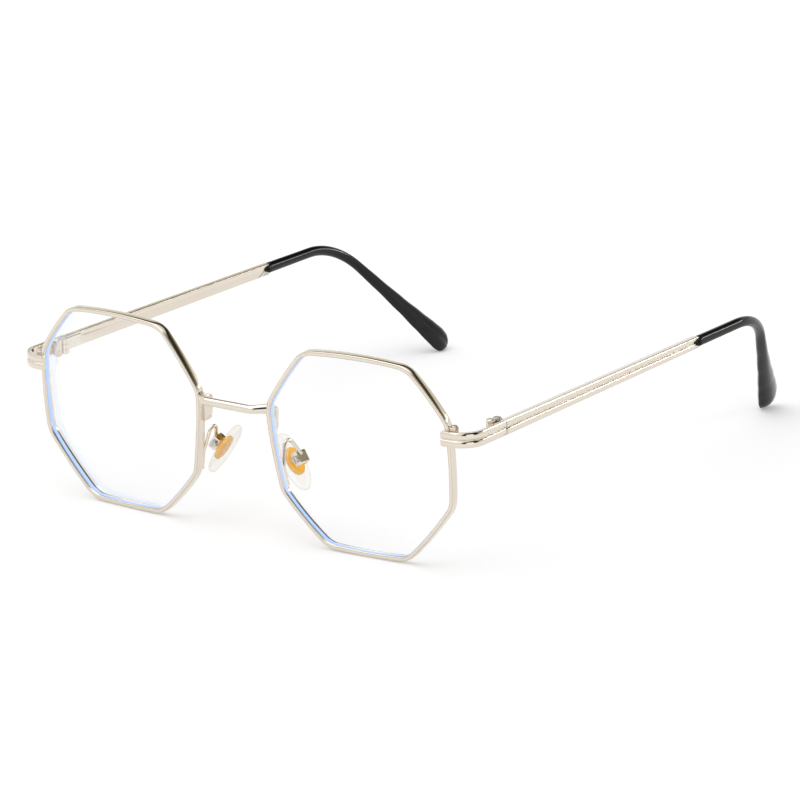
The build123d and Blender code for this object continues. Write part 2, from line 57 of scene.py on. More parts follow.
# Places and sizes that the pieces share with the frame, in millimetres and degrees, before
# the frame's own shift. The hinge pin ties the two together.
BAR_LEVEL = 31.6
BAR_SPREAD = 64.25
BAR_THICKNESS = 1.3
BAR_START, BAR_END = 15.075, 94.8
HINGE_SPOT = Vector((62.2, 15.0, BAR_LEVEL))
TOE_IN = 0.6
LENS_BOX = (49.0, 46.7)
HALF_GAP = 9.35
CORNER_SHARES = (
    (0.219, 1), (0.793, 1), (1, 0.741), (1, 0.315),
    (0.739, 0), (0.296, 0), (0.057, 0.253), (0, 0.688),
)
CORNER_ROUND = 6.5
SIDE_STEPS, CORNER_STEPS = 14, 9
TOP_BOW, SIDE_BOW = 0.8, 0.45
RIM_FACE, RIM_DEPTH = 1.1, 2.1
FACE_FORM, FRONT_LEAN, FRONT_SETBACK = 3.3, 3.7, 1.0
LENS_PLACE = (
    Matrix.Translation((HALF_GAP, 0, 0)) @ Matrix.Rotation(math.radians(FACE_FORM), 4, "Z")
    @ Matrix.Rotation(math.radians(FRONT_LEAN), 4, "X") @ Matrix.Rotation(math.radians(90), 4, "X")
    @ Matrix.Translation((0, 0, -FRONT_SETBACK)))
LOCK_LEVEL, LOCK_GAP = 32.6, 0.3
BRIDGE_LEVEL, BRIDGE_REACH, BRIDGE_BEND = 31.2, 9.46, 2.2
ENDPIECE_LAP, ENDPIECE_BEND, ENDPIECE_END = 1.45, 5.3, 14.925
TIP_DROP, TIP_LEAN = 51.0, 24.5
TIP_STRAIGHT, TIP_BEND, TIP_TAIL = 17.4, 20.8, 34.3
# The tip's section at shares of its length: the share, the height and the thickness
TIP_SECTION_SHARES = (
    (0.0, 0.35, 0.9), (0.003, 0.38, 0.92), (0.22, 0.36, 0.91), (0.4, 0.36, 0.9), (0.5, 0.36, 0.88),
    (0.62, 0.47, 0.85), (0.74, 0.64, 0.84), (0.84, 0.82, 0.88), (0.91, 0.95, 0.95), (0.95, 1.0, 0.95),
    (0.975, 0.9, 0.85), (0.99, 0.62, 0.62), (0.998, 0.32, 0.36), (1.0, 0.1, 0.12),
)
TIP_INNER_SHARE, TIP_OUTER_SHARE = 0.75, 0.62
PAD_CENTRE, PAD_SPLAY_UP, PAD_SPLAY_BACK = (9.85, 8.5, 16.45), 33, 5
PAD_PLACE = (
    Matrix.Translation(PAD_CENTRE) @ Matrix.Rotation(math.radians(-PAD_SPLAY_BACK), 4, "Z")
    @ Matrix.Rotation(math.radians(-PAD_SPLAY_UP), 4, "Y")
    @ Matrix(((0, 0, 1, 0), (1, 0, 0, 0), (0, 1, 0, 0), (0, 0, 0, 1))))
LUG_RADIUS, LUG_THICKNESS, LUG_RISE = 0.62, 1.28, 1.6
ARM_FOOT_SHARES, ARM_LOOP_SHARES = (0.27, 0.36), (0.33, 0.68)
ARM_FOOT_DEPTH, ARM_LOOP_TOP, ARM_LOOP_INSET, ARM_BEND = 0.37, 22.5, 0.9, 1.4
ARM_END = (0, 0.6, 3.34)


# Shader building

class Wire:
    """A node's output socket that adds Math nodes when it is used in an expression."""

    def __init__(self, finish, socket):
        self.finish = finish
        self.socket = socket

    def _math(self, operation, first, second=None):
        inputs = {0: first} if second is None else {0: first, 1: second}
        return self.finish.node("ShaderNodeMath", {"operation": operation}, inputs)

    def __add__(self, other):
        return self._math("ADD", self, other)

    def __radd__(self, other):
        return self._math("ADD", other, self)

    def __sub__(self, other):
        return self._math("SUBTRACT", self, other)

    def __rsub__(self, other):
        return self._math("SUBTRACT", other, self)

    def __mul__(self, other):
        return self._math("MULTIPLY", self, other)

    def __rmul__(self, other):
        return self._math("MULTIPLY", other, self)

    def __truediv__(self, other):
        return self._math("DIVIDE", self, other)

    def __rtruediv__(self, other):
        return self._math("DIVIDE", other, self)

    def clamped(self):
        return self.finish.node("ShaderNodeClamp", {}, {"Value": self})

    def rising(self, start, steepness):
        """0 up to start, then rising to 1."""
        return ((self - start) * steepness).clamped()


class Finish:
    """A material's or a world's node tree, filled in by name."""

    def __init__(self, owner):
        owner.use_nodes = True
        self.tree = owner.node_tree
        self.tree.nodes.clear()

    def node(self, kind, settings, inputs, output=0):
        made = self.tree.nodes.new(kind)
        for key, value in settings.items():
            if key == "stops":
                ramp = made.color_ramp
                while len(ramp.elements) < len(value):
                    ramp.elements.new(1.0)
                for stop, (place, colour) in zip(ramp.elements, value):
                    stop.position = place
                    stop.color = (*colour, 1.0)
            else:
                setattr(made, key, value)
        for key, value in inputs.items():
            socket = made.inputs[key]
            if isinstance(value, Wire):
                self.tree.links.new(value.socket, socket)
            elif value is not None:
                socket.default_value = value
        return Wire(self, made.outputs[output])

    def noise(self, scale, detail=3.0, stretch=(1.0, 1.0, 1.0)):
        place = self.node("ShaderNodeTexCoord", {}, {}, "Object")
        mapped = self.node("ShaderNodeMapping", {}, {"Vector": place, "Scale": stretch})
        return self.node(
            "ShaderNodeTexNoise", {}, {"Vector": mapped, "Scale": scale, "Detail": detail}, "Fac")

    def blend(self, factor, first, second):
        return self.node("ShaderNodeMix", {"data_type": "RGBA"}, {0: factor, 6: first, 7: second}, 2)

    def bump(self, height, strength, distance):
        return self.node(
            "ShaderNodeBump", {}, {"Height": height, "Strength": strength, "Distance": distance})

    def direct(self):
        """1 where the background is seen, reflected or looked at through clear plastic."""
        rays = [self.node("ShaderNodeLightPath", {}, {}, kind)
                for kind in ("Is Camera Ray", "Is Glossy Ray", "Is Transmission Ray")]
        return (rays[0] + rays[1] + rays[2]).clamped()

    def close(self, kind, shader):
        made = self.tree.nodes.new(kind)
        self.tree.links.new(shader.socket, made.inputs["Surface"])


def rgba(colour):
    return (*colour, 1.0)


def shade(colour, amount):
    """The colour made darker or lighter."""
    return rgba(tuple(c * amount for c in colour))


def new_material(name):
    material = bpy.data.materials.new(name)
    return material, Finish(material)


def champagne_metal(look):
    """Polished pale gold metal with faint polishing haze."""
    material, f = new_material("champagne_metal")
    haze = f.noise(900.0, 2.0, (1.0, 0.2, 1.0))
    cloud = f.noise(60.0, 2.0)
    tint = f.blend(cloud, rgba(look.metal), shade(look.metal, 0.94))
    rough = look.metal_roughness + (haze - 0.5) * 0.05
    f.close("ShaderNodeOutputMaterial", f.node("ShaderNodeBsdfPrincipled", {}, {
        "Base Color": tint, "Metallic": 1.0, "Roughness": rough,
        "Normal": f.bump(haze, 0.02, 0.0001)}))
    return material


def screw_steel(look):
    """Turned screw metal, a little greyer and rougher than the frame."""
    material, f = new_material("screw_steel")
    turned = f.noise(2500.0, 1.0)
    tint = f.blend(turned, rgba(look.screw), shade(look.screw, 0.85))
    f.close("ShaderNodeOutputMaterial", f.node("ShaderNodeBsdfPrincipled", {}, {
        "Base Color": tint, "Metallic": 1.0, "Roughness": 0.2 + turned * 0.08}))
    return material


def black_tip(look):
    """Glossy moulded black of the temple tips."""
    material, f = new_material("black_tip")
    swirl = f.noise(180.0, 2.0)
    tint = f.blend(swirl, rgba(look.tip), shade(look.tip, 1.5))
    f.close("ShaderNodeOutputMaterial", f.node("ShaderNodeBsdfPrincipled", {}, {
        "Base Color": tint, "Roughness": look.tip_roughness + swirl * 0.04, "IOR": 1.36,
        "Normal": f.bump(swirl, 0.006, 0.0002)}))
    return material


def lens_glass(look):
    """Clear lens: almost nothing shows but its gloss and the blue of its ground edge, which is also given a
    painted glow.
    """
    material, f = new_material("lens_clear")
    gloss = f.node("ShaderNodeBsdfGlossy", {}, {"Color": (1, 1, 1, 1), "Roughness": 0.02})
    clear = f.node("ShaderNodeBsdfTransparent", {}, {"Color": (1, 1, 1, 1)})
    fresnel = f.node("ShaderNodeFresnel", {}, {"IOR": 1.33})
    body = f.node("ShaderNodeMixShader", {}, {0: fresnel * 0.25, 1: clear, 2: gloss})
    edge = f.node("ShaderNodeAttribute", {"attribute_name": "edge"}, {}, "Fac")
    # The ground edge's own blue, plus an emission in the same blue: a painted glow, since the edge is no
    # lamp.
    ground = f.node("ShaderNodeBsdfPrincipled", {}, {
        "Base Color": rgba(look.lens_edge), "Roughness": 0.4, "Emission Color": rgba(look.lens_edge),
        "Emission Strength": 0.55})
    f.close("ShaderNodeOutputMaterial", f.node(
        "ShaderNodeMixShader", {}, {0: edge * 0.92, 1: body, 2: ground}))
    return material


def pad_plastic(look):
    """Soft clear plastic of the nose pads, a touch warmer at its edge."""
    material, f = new_material("pad_clear")
    cloud = f.noise(400.0, 2.0)
    facing = f.node("ShaderNodeLayerWeight", {}, {"Blend": 0.35}, "Facing")
    tint = f.blend(facing, (1, 1, 1, 1), rgba(look.pad))
    clear = f.node("ShaderNodeBsdfTransparent", {}, {"Color": tint})
    body = f.node("ShaderNodeBsdfPrincipled", {}, {
        "Base Color": (0.9, 0.87, 0.84, 1), "Roughness": 0.15 + cloud * 0.06, "IOR": 1.42})
    f.close("ShaderNodeOutputMaterial", f.node(
        "ShaderNodeMixShader", {}, {0: 0.06 + facing * 0.2, 1: clear, 2: body}))
    return material


def pad_amber(look):
    """Clear amber plastic inside the pads, with a painted glow in its own amber."""
    material, f = new_material("pad_amber")
    cloud = f.noise(500.0, 2.0)
    facing = f.node("ShaderNodeLayerWeight", {}, {"Blend": 0.4}, "Facing")
    tint = f.blend(facing, rgba(look.amber), shade(look.amber, 0.6))
    clear = f.node("ShaderNodeBsdfTransparent", {}, {"Color": tint})
    # The emission is a painted glow: it brightens the amber core however it is lit.
    body = f.node("ShaderNodeBsdfPrincipled", {}, {
        "Base Color": tint, "Roughness": 0.15 + cloud * 0.05, "IOR": 1.45,
        "Emission Color": tint, "Emission Strength": 0.3})
    f.close("ShaderNodeOutputMaterial", f.node(
        "ShaderNodeMixShader", {}, {0: 0.35 + cloud * 0.3, 1: clear, 2: body}))
    return material


# Mesh building

def dress(piece, material):
    piece.data.materials.clear()
    piece.data.materials.append(material)


def both(name):
    """A node's name on the wearer's left and right."""
    return [f"{name}_{side}" for side in SIDES]


def soften(name, material):
    """A frame node that stays: it gets its material and a fine bevel along its edges."""
    node = frame["nodes"][name]
    dress(node, material)
    bevel = node.modifiers.new("soft_edges", "BEVEL")
    bevel.width, bevel.segments, bevel.limit_method = EDGE_BREAK * MM, 2, "ANGLE"
    bevel.angle_limit = math.radians(35)


def to_frame(point):
    """From the drawing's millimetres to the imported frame's metres."""
    joint = next(j for j in frame["joints"] if j["name"] == "temple_fold_left")
    return Vector(joint["pos_m"]) + (point - HINGE_SPOT) * MM


def skin(rings, around=True, along=False, caps=True):
    """Points and faces through rings of equal length. Around closes each ring, along joins
    the last ring to the first and caps closes both ends."""
    count = len(rings[0])
    points = [point for ring in rings for point in ring]
    faces = []
    for i in range(len(rings) if along else len(rings) - 1):
        a, b = i * count, (i + 1) % len(rings) * count
        for j in range(count if around else count - 1):
            k = (j + 1) % count
            faces.append((a + j, a + k, b + k, b + j))
    if caps and not along:
        faces.append(tuple(range(count)))
        faces.append(tuple(range((len(rings) - 1) * count, len(rings) * count)))
    return points, faces


def join(*shells):
    """Several sets of points and faces as one."""
    points, faces = [], []
    for more_points, more_faces in shells:
        first = len(points)
        points += more_points
        faces += [tuple(first + k for k in face) for face in more_faces]
    return points, faces


def place_piece(name, shell, material, body, nodes, side="left", sharp=38, values=None):
    """Makes one piece of the object, mirrored for the wearer's right."""
    points, faces = shell
    flip = -1 if side == "right" else 1
    spots = [to_frame(Vector(point)) for point in points]
    mesh = bpy.data.meshes.new(name)
    mesh.from_pydata([(flip * p.x, p.y, p.z) for p in spots], [], faces)
    shape = bmesh.new()
    shape.from_mesh(mesh)
    bmesh.ops.recalc_face_normals(shape, faces=shape.faces)
    shape.to_mesh(mesh)
    shape.free()
    mesh.shade_smooth()
    mesh.set_sharp_from_angle(angle=math.radians(sharp))
    if values:
        layer = mesh.attributes.new("edge", "FLOAT", "POINT")
        layer.data.foreach_set("value", values)
    piece = bpy.data.objects.new(name, mesh)
    bpy.context.scene.collection.objects.link(piece)
    dress(piece, material)
    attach(piece, body)
    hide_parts(*nodes)
    return piece


def arc(start, middle, end, steps):
    """Points of the circle's arc through three flat points, both ends included."""
    ax, ay, bx, by, cx, cy = *start, *middle, *end
    d = 2 * (ax * (by - cy) + bx * (cy - ay) + cx * (ay - by))
    sa, sb, sc = ax * ax + ay * ay, bx * bx + by * by, cx * cx + cy * cy
    ux = (sa * (by - cy) + sb * (cy - ay) + sc * (ay - by)) / d
    uy = (sa * (cx - bx) + sb * (ax - cx) + sc * (bx - ax)) / d
    radius = math.hypot(ax - ux, ay - uy)
    a0, a1, a2 = [math.atan2(y - uy, x - ux) for x, y in (start, middle, end)]
    turn = (a2 - a0) % math.tau
    if (a1 - a0) % math.tau > turn:
        turn -= math.tau
    return [(ux + radius * math.cos(a0 + turn * i / steps), uy + radius * math.sin(a0 + turn * i / steps))
            for i in range(steps + 1)]


def rounded_path(corners, radius, steps=8):
    """The corners' polyline with each inner corner turned on an arc."""
    path = [Vector(corners[0])]
    for before, here, after in zip(corners, corners[1:], corners[2:]):
        here = Vector(here)
        back, on = (Vector(before) - here).normalized(), (Vector(after) - here).normalized()
        half = back.angle(on) / 2
        reach = radius / math.tan(half)
        middle = here + (back + on).normalized() * radius / math.sin(half)
        first, last = here + back * reach - middle, here + on * reach - middle
        sweep = first.angle(last)
        for i in range(steps + 1):
            share = i / steps
            spoke = first * math.sin((1 - share) * sweep) + last * math.sin(share * sweep)
            path.append(middle + spoke / math.sin(sweep))
    path.append(Vector(corners[-1]))
    return path


def sweep_along(path, section, up, grow=None):
    """Rings of a flat section carried along a path. The section's first value points along
    the path's side and its second along up; grow scales each ring."""
    rings = []
    for i, spot in enumerate(path):
        ahead = (path[min(i + 1, len(path) - 1)] - path[max(i - 1, 0)]).normalized()
        side = ahead.cross(up).normalized()
        rise = side.cross(ahead).normalized()
        wide, tall = grow[i] if grow else (1, 1)
        rings.append([spot + side * x * wide + rise * y * tall for x, y in section])
    return rings


def round_section(radius, steps=20):
    angles = [math.tau * i / steps for i in range(steps)]
    return [(radius * math.cos(angle), radius * math.sin(angle)) for angle in angles]


# The octagon that rims and lenses share, drawn flat: first from the nose, then up

def octagon_arcs():
    """Centre, radius, start and end angle and steps of the sixteen arcs, from the lock's side on."""
    corners = [Vector((u * LENS_BOX[0], v * LENS_BOX[1])) for u, v in CORNER_SHARES]
    sides = []
    for i, start in enumerate(corners):
        end = corners[(i + 1) % 8]
        chord = end - start
        ahead = chord.normalized()
        bow = TOP_BOW if i == 0 else SIDE_BOW
        radius = ((chord.length / 2) ** 2 + bow ** 2) / (bow * 2)
        sides.append(((start + end) / 2 - Vector((-ahead.y, ahead.x)) * (radius - bow), radius))
    rounds = []
    for i, corner in enumerate(corners):
        (a, reach_a), (b, reach_b) = sides[i - 1], sides[i]
        reach_a, reach_b = reach_a - CORNER_ROUND, reach_b - CORNER_ROUND
        ahead = (b - a).normalized()
        run = ((b - a).length ** 2 + reach_a ** 2 - reach_b ** 2) / ((b - a).length * 2)
        across = Vector((-ahead.y, ahead.x)) * math.sqrt(reach_a ** 2 - run ** 2)
        meetings = (a + ahead * run + across, a + ahead * run - across)
        rounds.append(min(meetings, key=lambda p: (p - corner).length))
    arcs = []
    for step in range(8):
        i = (step + 2) % 8
        middle, radius = sides[i]
        after = rounds[(i + 1) % 8]
        next_middle = sides[(i + 1) % 8][0]
        aims = [(rounds[i] - middle), (after - middle), (after - next_middle)]
        angles = [math.atan2(aim.y, aim.x) for aim in aims]
        arcs.append((middle, radius, angles[0], angles[1], SIDE_STEPS))
        arcs.append((after, CORNER_ROUND, angles[1], angles[2], CORNER_STEPS))
    return arcs


ARCS = octagon_arcs()


def arc_point(index, share, inset):
    """A point at a share of one of the sixteen arcs, moved in from the octagon's edge."""
    middle, radius, start, end, _ = ARCS[index]
    turn = (end - start + math.pi) % math.tau - math.pi
    angle = start + turn * share
    return middle + Vector((math.cos(angle), math.sin(angle))) * (radius - inset)


def octagon(inset, slit=None):
    """Points once round the octagon. With a slit, from its lower side round to its upper."""
    places = [(index, i / ARCS[index][4]) for index in range(16) for i in range(ARCS[index][4])]
    if slit:
        upper, lower = slit
        places = [p for p in places if p[0] or p[1] > lower] + [p for p in places if p < (0, upper)]
        places = [(0, lower)] + places + [(0, upper)]
    return [arc_point(index, share, inset) for index, share in places]


def lock_slit():
    """Shares of the temporal side's arc at which the rim is cut for its lock."""
    shares, inset = [], 0.5
    for level in (LOCK_LEVEL + LOCK_GAP / 2, LOCK_LEVEL - LOCK_GAP / 2):
        low, high = 0.0, 1.0
        for _ in range(30):
            middle = (low + high) / 2
            if arc_point(0, middle, inset).y > level:
                low = middle
            else:
                high = middle
        shares.append(low)
    return shares


def on_lens(flat, depth):
    """A point of the flat drawing on the left lens's leaning plane, at a depth behind its front."""
    return LENS_PLACE @ Vector((flat.x, flat.y, -depth))


def nose_side(level):
    """How far out the rim's outer edge lies at a level of its nose side."""
    low, high = CORNER_SHARES[6], CORNER_SHARES[7]
    share = (level / LENS_BOX[1] - low[1]) / (high[1] - low[1])
    return LENS_BOX[0] * (low[0] + (high[0] - low[0]) * share) - SIDE_BOW * 4 * share * (1 - share)


def rim_shell(size):
    """The rim's section carried round the octagon: a crowned face between two fine lines."""
    face, crown, line = size.face / MM, size.crown / MM, size.line / MM
    shoulder = [
        (0.0, 0.36), (0.03, 0.22), (0.08, 0.13), (0.15, crown), (0.19, crown + line), (0.23, crown + line),
        (0.27, crown * 0.7), (0.38, crown * 0.25),
    ]
    groove = [(face, 0.62), (face - 0.42, 1.05), (face, 1.48)]
    heel = [(face, 1.86), (face - 0.07, 2.03), (face - 0.22, RIM_DEPTH), (0.22, RIM_DEPTH), (0.06, 2.03)]
    section = [(0.0, 1.9)] + shoulder + [(face / 2, 0.0)]
    section += [(face - inset, depth) for inset, depth in reversed(shoulder)] + groove + heel
    slit = lock_slit()
    lines = [[on_lens(p, depth) for p in octagon(inset, slit)] for inset, depth in section]
    rings = [list(ring) for ring in zip(*lines)]
    return skin(rings)


def lens_shell(size):
    """A meniscus with a flat edge, and how strongly each point takes the edge's blue and its painted glow.
    """
    reach = (LENS_BOX[0] + LENS_BOX[1]) / 4 - RIM_FACE
    radius, thick = size.curve / MM, size.thickness / MM
    front = reach ** 2 / radius / 2 - RIM_DEPTH / 2 + thick / 2
    middle = Vector((LENS_BOX[0] / 2, LENS_BOX[1] / 2))
    edge_inset, insets, inner_shares = 1.15, (1.18, 1.35, 2.2, 4.0), (0.04, 0.4, 0.75)
    rings, values = [], []

    def depth(p, outer):
        away = (p - middle).length
        return -(front - radius + math.sqrt((outer ** 2) - away ** 2))

    def ring(points, outer, value=0.0):
        rings.append([on_lens(p, depth(p, outer)) for p in points])
        values.extend([value] * len(points))

    def inner_ring(share, outer):
        ring([middle + (p - middle) * share for p in octagon(insets[-1])], outer)

    for share in inner_shares:
        inner_ring(share, radius)
    for inset in reversed(insets):
        ring(octagon(inset), radius)
    for share, value in ((0.0, 1.0), (0.58, 1.0), (0.62, 0.0), (1.0, 0.0)):
        ring(octagon(edge_inset), radius - thick * share, value)
    for inset in insets:
        ring(octagon(inset), radius - thick)
    for share in reversed(inner_shares):
        inner_ring(share, radius - thick)
    return skin(rings), values


def bridge_shell(size):
    """A round wire, flat across the nose, that spreads a little where it meets the rims."""
    seat = on_lens(Vector((0, BRIDGE_LEVEL)), RIM_DEPTH * 0.5)
    flat, forward = size.flat_span / MM / 2, seat.y - size.forward / MM
    corners = [(-BRIDGE_REACH, seat.y, BRIDGE_LEVEL), (-flat, forward, BRIDGE_LEVEL),
               (flat, forward, BRIDGE_LEVEL), (BRIDGE_REACH, seat.y, BRIDGE_LEVEL)]
    path = rounded_path(corners, BRIDGE_BEND, 10)
    spread_start, spread_length, spread_share = 7.9, 1.6, 0.18
    grow = []
    for spot in path:
        near = max(0.0, abs(spot.x) - spread_start) / spread_length
        grow.append((1.0, 1 + spread_share * near))
    return skin(sweep_along(path, round_section(size.wire / MM / 2, 28), Vector((0, 0, 1)), grow))


def brace_shell(size):
    """The upright plate behind the rim's nose side, its free corners well rounded."""
    half = size.brace / MM / 2
    start, middle, broken = 1.3, 28, 0.06
    u = nose_side(28.3)
    outline = [(start, 25.1), (3.1, 25.1), (3.7, 25.35), (4.0, 25.95),
               (4.55, 29.7), (4.45, 30.5), (3.9, 30.9), (start, 30.9)]
    rings = []
    for side, tight in ((-half, 0.97), (-half + broken, 1.0), (half - broken, 1.0), (half, 0.97)):
        rings.append([
            on_lens(Vector((u + side, middle + (v - middle) * tight)), start + (depth - start) * tight)
            for depth, v in outline])
    return skin(rings)


# The end pieces, temple bars and tips

def ribbed_section(height, crown, backing=0.0):
    """Two rounded ribs with a groove between, on a flat back with broken edges."""
    back, front, top = -BAR_THICKNESS / 2 - backing, BAR_THICKNESS / 2 - crown, height / 2
    valley, sunk, cut = 0.1, 0.1, 0.1
    crest = (top + valley) / 2
    upper = arc((front, top), (front + crown, crest), (front, valley), 8)
    points = [(back + cut, -top), (back + cut / 3, -top + cut / 3), (back, -top + cut), (back, top - cut),
              (back + cut / 3, top - cut / 3), (back + cut, top), (front - cut, top)]
    points += upper + [(front - sunk, valley * 0.6), (front - sunk, -valley * 0.6)]
    points += [(x, -y) for x, y in reversed(upper)] + [(front - cut, -top)]
    return points


def bar_path(front_height, rear_height, path, crown, backing=0.0):
    """Rings of the ribbed section along a level path, drawn in a little at both ends."""
    drawn_in, drawn_share = 0.09, 0.93
    total = sum((b - a).length for a, b in zip(path, path[1:]))
    ends = [path[0], path[0] + (path[1] - path[0]).normalized() * drawn_in]
    tail = [path[-1] + (path[-2] - path[-1]).normalized() * drawn_in, path[-1]]
    path = ends + path[1:-1] + tail
    rings, gone = [], 0.0
    for i, spot in enumerate(path):
        if i:
            gone += (spot - path[i - 1]).length
        ahead = (path[min(i + 1, len(path) - 1)] - path[max(i - 1, 0)]).normalized()
        out = ahead.cross(Vector((0, 0, 1)))
        height = front_height + (rear_height - front_height) * gone / total
        tight = drawn_share if i in (0, len(path) - 1) else 1.0
        section = ribbed_section(height, crown, backing)
        rings.append([spot + out * x * tight + Vector((0, 0, y * tight)) for x, y in section])
    return skin(rings)


def endpiece_shell(size):
    """The ribbed strip that laps over the rim's front and turns back to the hinge."""
    start = on_lens(Vector((LENS_BOX[0] - ENDPIECE_LAP, BAR_LEVEL)), -BAR_THICKNESS / 2)
    start.z = BAR_LEVEL
    run_back = (BAR_SPREAD - start.x) * math.tan(math.radians(FACE_FORM))
    corner = Vector((BAR_SPREAD, start.y + run_back, BAR_LEVEL))
    end = Vector((BAR_SPREAD, ENDPIECE_END, BAR_LEVEL))
    path = rounded_path([start, corner, end], ENDPIECE_BEND, 18)
    return bar_path(size.endpiece_height / MM, size.bar_height / MM, path, size.crown / MM)


def turned_in(points):
    """Points of the open temple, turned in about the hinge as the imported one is."""
    turn = Matrix.Rotation(math.radians(TOE_IN), 4, "Z")
    turn = Matrix.Translation(HINGE_SPOT) @ turn @ Matrix.Translation(-HINGE_SPOT)
    return [turn @ Vector(p) for p in points]


def bar_shell(size):
    """The temple's ribbed bar, from the hinge to the tip."""
    path = [Vector((BAR_SPREAD, BAR_START + (BAR_END - BAR_START) * i / 12, BAR_LEVEL)) for i in range(13)]
    points, faces = bar_path(
        size.bar_height / MM, size.bar_end_height / MM, path, size.crown / MM, size.backing / MM)
    return turned_in(points), faces


def tip_section(share):
    """Height and thickness at a share of the tip's length, eased between the rows but at its end."""
    table = TIP_SECTION_SHARES
    after = next(i for i, row in enumerate(table) if row[0] >= share)
    b, a = table[after], table[max(after - 1, 0)]
    part = (share - a[0]) / (b[0] - a[0]) if b[0] > a[0] else 1.0
    if b[0] <= 0.97:
        part = part * part * (3 - 2 * part)
    return a[1] + (b[1] - a[1]) * part, a[2] + (b[2] - a[2]) * part


def tip_shell(size):
    """The sleeve: straight, bent down and in, then widening to its rounded end."""
    drop, lean = math.radians(TIP_DROP), math.radians(TIP_LEAN)
    total = TIP_STRAIGHT + TIP_BEND * drop + TIP_TAIL
    across = Vector((math.cos(lean), 0, -math.sin(lean)))
    down = Vector((-math.sin(lean), 0, -math.cos(lean)))
    back = Vector((0, 1, 0))
    tall, thick = size.tip_height / MM, size.tip_thickness / MM
    inner, outer = TIP_INNER_SHARE, TIP_OUTER_SHARE
    even_shares, end_shares = {i / 60 for i in range(1, 58)}, {0.982, 0.995}
    rings = []
    for share in sorted(even_shares | end_shares | {row[0] for row in TIP_SECTION_SHARES}):
        height_share, thickness_share = tip_section(share)
        h, w = height_share * tall / 2, thickness_share * thick / 2
        gone = share * total
        angle = min(max((gone - TIP_STRAIGHT) / TIP_BEND, 0.0), drop)
        rest = max(gone - TIP_STRAIGHT - TIP_BEND * drop, 0.0)
        u = min(gone, TIP_STRAIGHT) + TIP_BEND * math.sin(angle) + rest * math.cos(drop)
        v = TIP_BEND * (1 - math.cos(angle)) + rest * math.sin(drop)
        centre = Vector((BAR_SPREAD, BAR_END, BAR_LEVEL)) + back * u + down * v
        ahead = back * math.cos(angle) + down * math.sin(angle)
        rise = back * math.sin(angle) - down * math.cos(angle)
        quarters = [((0, h), (-w * inner, h * inner), (-w, 0)), ((-w, 0), (-w * inner, -h * inner), (0, -h)),
                    ((0, -h), (w * outer, -h * outer), (w, 0)), ((w, 0), (w * outer, h * outer), (0, h))]
        outline = [spot for quarter in quarters for spot in arc(*quarter, 7)[:-1]]
        rings.append([centre + across * x + rise * y for x, y in outline])
    points, faces = skin(rings)
    return turned_in(points), faces


# The nose pads and their arms

def arm_shell(size):
    """The nose pad's wire: flattened where it is soldered, then one narrow loop to the box."""
    feet = []
    for share in ARM_FOOT_SHARES:
        v = LENS_BOX[1] * share
        feet.append(on_lens(Vector((nose_side(v) + RIM_FACE / 2, v)), RIM_DEPTH + ARM_FOOT_DEPTH))
    low, foot = PAD_PLACE @ Vector(ARM_END), feet[1]
    near, far = [Vector((foot.x - ARM_LOOP_INSET, foot.y + (low.y - foot.y) * share, ARM_LOOP_TOP))
                 for share in ARM_LOOP_SHARES]
    path = rounded_path([*feet, near, far, low], ARM_BEND, 10)
    flattened = (0.9, 1.35)
    grow = [flattened] + [(1, 1)] * (len(path) - 1)
    return skin(sweep_along(path, round_section(size.wire / MM / 2, 16), Vector((1, 0, 0)), grow))


def oval(width, length, inset, level, steps=48):
    """One ring of an oval at a level of the pad."""
    ring = []
    for i in range(steps):
        angle = math.tau * i / steps
        x, y = math.cos(angle) * (width / 2 - inset), math.sin(angle) * (length / 2 - inset)
        ring.append(PAD_PLACE @ Vector((x, y, level)))
    return ring


def pad_shell(size):
    """A soft oval pad: cupped towards the nose, round at its edge, pocketed behind."""
    wide, long, thick = size.pad_width / MM, size.pad_length / MM, size.pad_thickness / MM
    core_wide, core_long = size.core_width / MM, size.core_length / MM
    top, edge = thick / 2, thick / 2 * 0.92
    pocket = ((core_wide * 0.48, top - 0.9), (0.0, top - 0.9), (-0.02, top - 0.05), (-0.12, top))
    rings = [oval(core_wide, core_long, inset, level) for inset, level in pocket]
    for i in range(9):
        angle = math.pi * i / 8
        rings.append(oval(wide, long, edge - edge * math.sin(angle), edge * math.cos(angle)))
    cup = ((1.3, 0.9), (2.2, 0.74), (3.3, 0.66))
    rings += [oval(wide, long, inset, -edge * share) for inset, share in cup]
    return skin(rings)


def core_shell(size):
    """The amber core set in the pad, domed in the clear plastic, with the lug that swings."""
    wide, long, top = size.core_width / MM, size.core_length / MM, size.pad_thickness / MM / 2
    rows = ((wide * 0.42, 0.88), (0.35, 0.86), (0.12, 0.74), (0.05, 0.5), (0.05, 0.12), (0.18, 0.0),
            (0.7, 0.05), (1.3, 0.22), (wide * 0.42, 0.26))
    base = skin([oval(wide, long, inset, top - depth) for inset, depth in rows])
    pin, foot, half, broken = top + LUG_RISE, top - 0.4, LUG_THICKNESS / 2, 0.04
    outline = [(-LUG_RADIUS, foot), (LUG_RADIUS, foot)]
    outline += [(y, pin + z) for y, z in arc((LUG_RADIUS, 0), (0, LUG_RADIUS), (-LUG_RADIUS, 0), 10)]
    rings = [[PAD_PLACE @ Vector((x, y * tight, z)) for y, z in outline]
             for x, tight in ((-half, 0.93), (-half + broken, 1), (half - broken, 1), (half, 0.93))]
    return join(base, skin(rings))


# What a user would change

def length(name, description, default, **limits):
    return bpy.props.FloatProperty(
        name=name, description=description, unit="LENGTH", default=default, precision=5, **limits)


def colour(name, description, default):
    return bpy.props.FloatVectorProperty(
        name=name, description=description, subtype="COLOR", size=3, min=0, max=1, default=default)


